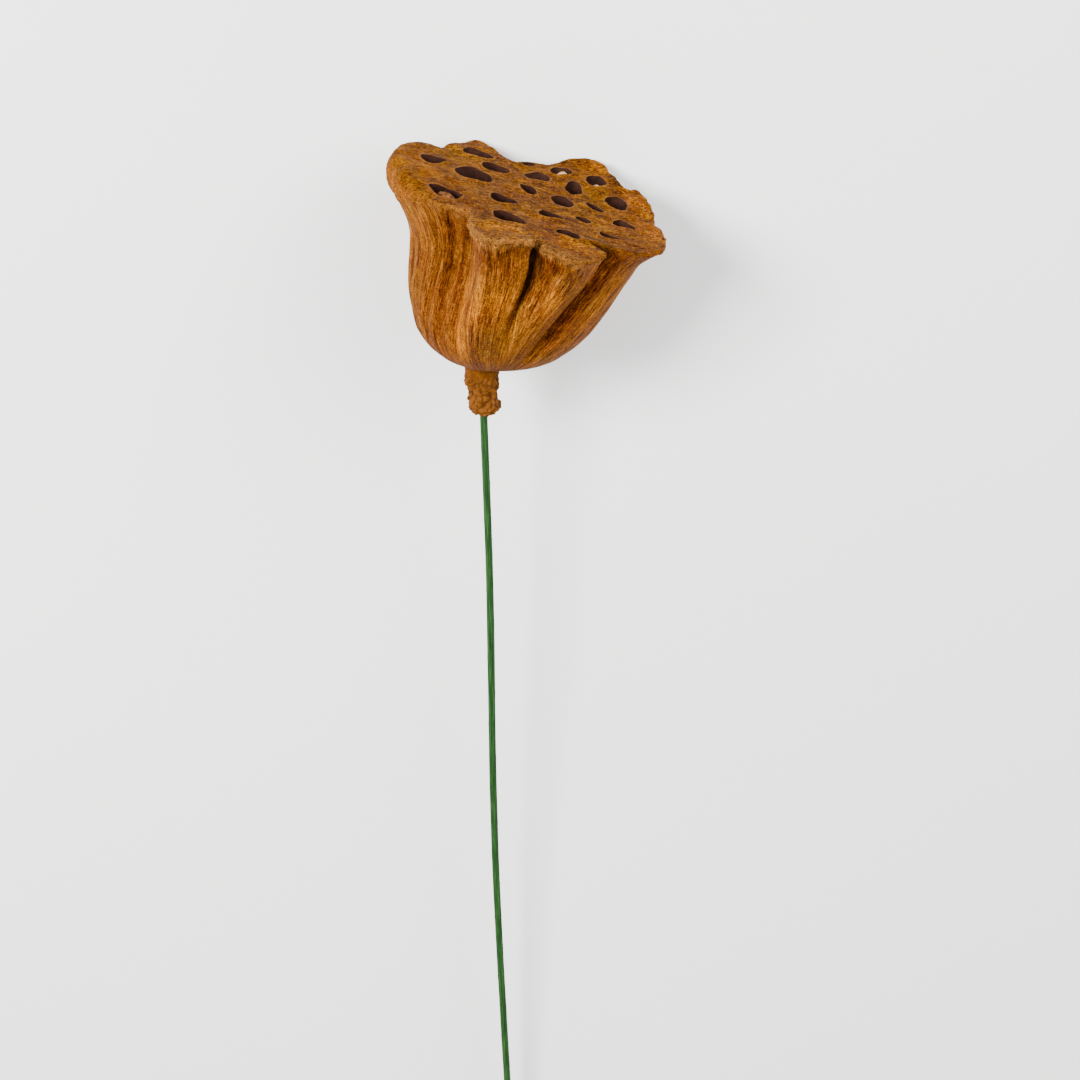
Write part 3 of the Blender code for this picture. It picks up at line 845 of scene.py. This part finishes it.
# ---- stem -------------------------------------------------------------------------------------
def make_wrap():
    """Floral tape wound down the wire: an open tube with lengthwise pleats and a lapped edge."""
    whole = PLUG_DEPTH + STEM_LENGTH
    knots = [0.0, 0.004, 0.996, 1.0]

    def shape(across, up):
        around = 2 * np.pi * across
        down = np.interp(up, knots, [0, 0, 1, 1]) * whole - PLUG_DEPTH
        radius = np.interp(up, knots, [WRAP_INNER, WRAP_OUTER, WRAP_OUTER, WRAP_INNER])
        pleats = 0.09 * waves(circle(around, 0.03 * down), (3, 3, 1)) - 0.05
        radius = radius + (radius > WRAP_INNER + 0.1) * pleats
        radius = radius + 0.05 * (((down / 26 + across) % 1) > 0.93)  # a lap every 26 mm
        return stem_point(down) + circle(around, 0 * up, radius)

    made = shaped_grid("tape_wrapped_stem", 30, 700, shape)
    spots = stood(points_of(made))
    put_above_table(made, points_of(made))
    down = STUB[0, 0] - spots[:, 2]
    middle = stem_point(down)
    around = np.arctan2(spots[:, 1] - middle[:, 1], spots[:, 0] - middle[:, 0])
    paint(made, "fibre", "FLOAT_VECTOR", circle(around, down / 10))
    return made


# ---- materials --------------------------------------------------------------------------------
def linear(colour):
    """An sRGB hex colour as the linear colour that shaders take."""
    parts = [int(colour[i:i + 2], 16) / 255 for i in (1, 3, 5)]
    return [p / 12.92 if p <= 0.04045 else ((p + 0.055) / 1.055) ** 2.4 for p in parts] + [1.0]


def blank(name):
    """A new material's node tree, the material and its shader."""
    made = bpy.data.materials.new(name)
    made.use_nodes = True
    return made.node_tree, made, made.node_tree.nodes["Principled BSDF"]


def add(tree, kind, inputs=(), **settings):
    """Add a node: set its properties, and fill or link its inputs."""
    made = tree.nodes.new(kind)
    for name, value in settings.items():
        setattr(made, name, value)
    for name, value in dict(inputs).items():
        if isinstance(value, bpy.types.NodeSocket):
            tree.links.new(value, made.inputs[name])
        else:
            made.inputs[name].default_value = value
    return made


def ramp(tree, value, *stops):
    """A colour read off a ramp: its two ends first, then the stops between them."""
    made = add(tree, "ShaderNodeValToRGB", {0: value})
    for i, (at, colour) in enumerate(stops):
        elements = made.color_ramp.elements
        stop = elements[i] if i < 2 else elements.new(at)
        stop.position = at
        stop.color = linear(colour)
    return made.outputs[0]


def noise_on(tree, vector, scale, detail, rough):
    """Noise over a vector that is stretched by a scale on each axis."""
    stretched = add(tree, "ShaderNodeMapping", {"Vector": vector, "Scale": scale})
    made = add(tree, "ShaderNodeTexNoise", {"Vector": stretched.outputs["Vector"], "Scale": 1.0,
               "Detail": detail, "Roughness": rough})
    return made.outputs["Fac"]


def mixed(tree, share, a, b, kind="MIX"):
    """Two colours mixed by a share."""
    made = add(tree, "ShaderNodeMix", {0: share, 6: a, 7: b}, data_type="RGBA", blend_type=kind)
    return made.outputs[2]


def between(tree, share, a, b):
    """Two values mixed by a share."""
    return add(tree, "ShaderNodeMix", {0: share, 2: a, 3: b}, data_type="FLOAT").outputs[0]


def maths(tree, operation, a, b):
    """Arithmetic on two values."""
    return add(tree, "ShaderNodeMath", {0: a, 1: b}, operation=operation).outputs[0]


def stored(tree, name):
    """What paint() stored at the mesh's points under a name."""
    return add(tree, "ShaderNodeAttribute", attribute_name=name).outputs


def parted(tree, name):
    """The three parts of a stored colour."""
    return add(tree, "ShaderNodeSeparateColor", {0: stored(tree, name)["Color"]}).outputs[:3]


def surface(tree, shader, colour, height=None, strength=1.0, distance=0.0, **inputs):
    """Link a colour and a bump to a shader, and fill or link its other inputs."""
    tree.links.new(colour, shader.inputs["Base Color"])
    for name, value in inputs.items():
        put = shader.inputs[name.replace("_", " ")]
        if isinstance(value, bpy.types.NodeSocket):
            tree.links.new(value, put)
        else:
            put.default_value = value
    if height is not None:
        bump = add(tree, "ShaderNodeBump", {"Height": height, "Strength": strength,
                   "Distance": distance})
        tree.links.new(bump.outputs[0], shader.inputs["Normal"])


def dried_receptacle():
    """Sun-dried woody plant skin: matt, brown to ochre, with fibres lengthwise on its sides and
    fine crossing wrinkles on its top."""
    tree, made, shader = blank("sun_dried_plant_skin")
    fibre = stored(tree, "fibre")["Vector"]
    here = add(tree, "ShaderNodeTexCoord").outputs["Object"]
    top, stub, calm = parted(tree, "zone")
    pleat_shade_and_cracks, edge, raised = parted(tree, "shade_and_marks")

    # fibres 0.3 mm wide and 4 mm long on the sides, crazing 1.4 by 0.5 mm on the top
    side_grain = noise_on(tree, fibre, (150, 150, 15), 3, 0.8)
    top_grain = noise_on(tree, here, (700, 1900, 1900), 3, 0.8)
    grain = between(tree, top, side_grain, top_grain)
    # streaks 1.6 mm wide and 23 mm long on the sides, blots 6 by 3 mm on the top
    side_streak = noise_on(tree, fibre, (26, 26, 2.4), 5, 0.7)
    top_streak = noise_on(tree, here, (170, 330, 330), 5, 0.7)
    streak = between(tree, top, side_streak, top_streak)
    # specks of grit and mould 0.6 mm across all over
    speck = noise_on(tree, here, (1700, 1700, 1700), 2, 0.6)
    tone = maths(tree, "ADD", maths(tree, "MULTIPLY", grain, 0.5),
                 maths(tree, "MULTIPLY", streak, 0.3))
    tone = maths(tree, "ADD", tone, maths(tree, "MULTIPLY", speck, 0.2))
    # marks stand out less on the smooth shoulder
    contrast = add(tree, "ShaderNodeMapRange", {"Value": calm, 3: 1.3, 4: 0.8}).outputs[0]
    tone = maths(tree, "MULTIPLY", maths(tree, "SUBTRACT", tone, 0.5), contrast)
    tone = maths(tree, "ADD", tone, 0.5)
    colour = ramp(tree, tone, (0.37, "#260E05"), (0.64, "#D08A3A"),
                  (0.43, "#4E260C"), (0.50, "#7A4716"), (0.57, "#A2651F"))
    # slow drift of hue between golden and russet, over 10 to 20 mm
    drift = noise_on(tree, here, (70, 70, 70), 3, 0.6)
    colour = mixed(tree, 0.8, colour, ramp(tree, drift, (0.36, "#F4DCC6"), (0.64, "#FFFFC4")),
                   "MULTIPLY")
    # the top is duller and yellower than the sides
    colour = mixed(tree, top, colour, (0.50, 0.51, 0.12, 1.0), "MULTIPLY")
    # the stored tints: stains, and painted shade in the deep pleats and under the crumbling edge
    colour = mixed(tree, 1.0, colour, stored(tree, "stain_and_shade")["Color"], "MULTIPLY")
    # the stub's rust, painted shade in the deep pleats, darker cracks on the stub, pale flakes on
    # the edge, worn socket edges
    flake = ramp(tree, grain, (0.42, "#000000"), (0.55, "#FFFFFF"))
    flake = maths(tree, "MULTIPLY", edge, maths(tree, "MULTIPLY", flake, 0.55))
    for share, hexed in [(maths(tree, "MULTIPLY", stub, 0.5), "#A8682E"),
                         (maths(tree, "MULTIPLY", pleat_shade_and_cracks, 0.75), "#1E0A04"),
                         (flake, "#9C6E38"),
                         (maths(tree, "MULTIPLY", raised, 0.35), "#8A5A2A")]:
        colour = mixed(tree, share, colour, linear(hexed))
    surface(tree, shader, colour, tone, 1.0, 0.0012, Roughness=between(tree, grain, 0.75, 0.45),
            Specular_IOR_Level=0.02)
    return made


def socket_lining():
    """The smooth dark inner skin that lined each seed's socket: dull brown, drawn into folds."""
    tree, made, shader = blank("dark_socket_lining")
    here = add(tree, "ShaderNodeTexCoord").outputs["Object"]
    folds = noise_on(tree, here, (300, 300, 300), 4, 0.6)
    colour = ramp(tree, folds, (0.35, "#1E0D06"), (0.65, "#321A10"))
    surface(tree, shader, colour, folds, 0.5, 0.0005, Roughness=0.8, Specular_IOR_Level=0.1)
    return made


def dried_seed(name, dark, light):
    """A lotus seed's hard dried coat: dull, with fine cracks."""
    tree, made, shader = blank(name)
    here = add(tree, "ShaderNodeTexCoord").outputs["Object"]
    mottle = noise_on(tree, here, (700, 700, 700), 5, 0.65)
    colour = ramp(tree, mottle, (0.35, dark), (0.62, light))
    surface(tree, shader, colour, mottle, 0.6, 0.0004, Roughness=0.7, Specular_IOR_Level=0.06)
    return made


def stem_tape():
    """Waxed crepe floral tape, stretched as it was wound: dull green with lengthwise threads."""
    tree, made, shader = blank("waxed_crepe_tape")
    threads = noise_on(tree, stored(tree, "fibre")["Vector"], (4, 4, 0.9), 5, 0.65)
    colour = ramp(tree, threads, (0.32, "#0A1E08"), (0.68, "#335C26"), (0.5, "#163A14"))
    surface(tree, shader, colour, threads, 0.5, 0.0003, Roughness=0.6, Specular_IOR_Level=0.12)
    return made


def steel_wire():
    """Drawn steel wire, seen only at the cut end: grey, with drawing lines 0.1 mm apart."""
    tree, made, shader = blank("drawn_steel")
    here = add(tree, "ShaderNodeTexCoord").outputs["Object"]
    lines = noise_on(tree, here, (9000, 60, 9000), 3, 0.6)
    surface(tree, shader, ramp(tree, lines, (0.3, "#8C8C8A"), (0.7, "#B8B8B4")), Metallic=1.0,
            Roughness=0.35)
    return made


def table_top():
    """Matt white lacquered board."""
    tree, made, shader = blank("matt_white_board")
    here = add(tree, "ShaderNodeTexCoord").outputs["Object"]
    cloud = noise_on(tree, here, (3, 3, 3), 2, 0.5)
    surface(tree, shader, ramp(tree, cloud, (0.3, "#FBFAF8"), (0.7, "#FDFDFB")), Roughness=0.9)
    return made


# ---- stage ------------------------------------------------------------------------------------
def set_camera():
    """A long lens above the pod's top end, looking down and a little towards the stem."""
    lens = bpy.data.cameras.new("camera")
    camera = bpy.data.objects.new("camera", lens)
    bpy.context.scene.collection.objects.link(camera)
    lens.sensor_width = 36
    lens.lens = LENS
    lens.clip_start = 0.01
    forward = Vector(CAMERA_FORWARD).normalized()
    right = forward.cross(Vector(CAMERA_UP)).normalized()
    turn = Matrix((right, right.cross(forward), -forward)).transposed().to_4x4()
    camera.matrix_world = Matrix.Translation(Vector(CAMERA_AT) * MM) @ turn
    bpy.context.scene.camera = camera


def set_light(name, at, size, power):
    """A square soft light aimed at the pod."""
    lamp = bpy.data.lights.new(name, "AREA")
    light = bpy.data.objects.new(name, lamp)
    bpy.context.scene.collection.objects.link(light)
    lamp.size = size
    lamp.energy = power
    light.location = at
    light.rotation_euler = (Vector(LIGHT_AIM) - Vector(at)).to_track_quat("-Z", "Y").to_euler()


def set_stage():
    """A pale table, soft lights and a pale room."""
    bpy.ops.object.select_all(action="DESELECT")
    bpy.ops.mesh.primitive_plane_add(size=6, location=(0, 0, 0))
    table = bpy.context.object
    table.name = "table"
    wear(table, table_top())
    for light in LIGHTS:
        set_light(*light)
    world = bpy.data.worlds.new("room")
    world.use_nodes = True
    back = world.node_tree.nodes["Background"]
    back.inputs["Color"].default_value = linear("#F4F4F6")
    back.inputs["Strength"].default_value = 1.08
    bpy.context.scene.world = world


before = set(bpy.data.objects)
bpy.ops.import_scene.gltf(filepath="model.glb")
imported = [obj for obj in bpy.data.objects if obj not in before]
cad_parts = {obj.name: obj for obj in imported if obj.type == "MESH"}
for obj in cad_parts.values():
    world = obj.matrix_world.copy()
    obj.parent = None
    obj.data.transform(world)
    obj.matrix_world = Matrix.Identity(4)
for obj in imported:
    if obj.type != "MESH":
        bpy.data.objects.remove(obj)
bpy.ops.object.select_all(action="DESELECT")
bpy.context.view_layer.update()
set_camera()
set_stage()

pod = make_pod()
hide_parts("seed_pod")
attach(pod, "root")

for number, (seed, coat) in enumerate(zip(SEEDS, SEED_COATS), start=1):
    made = make_seed(number, seed)
    wear(made, dried_seed(*coat))
    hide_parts(f"seed_{number}")
    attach(made, "root")

wrap = make_wrap()
wear(wrap, stem_tape())
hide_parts("stem_wrap")
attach(wrap, "root")
wear(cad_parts["stem_wire"], steel_wire())
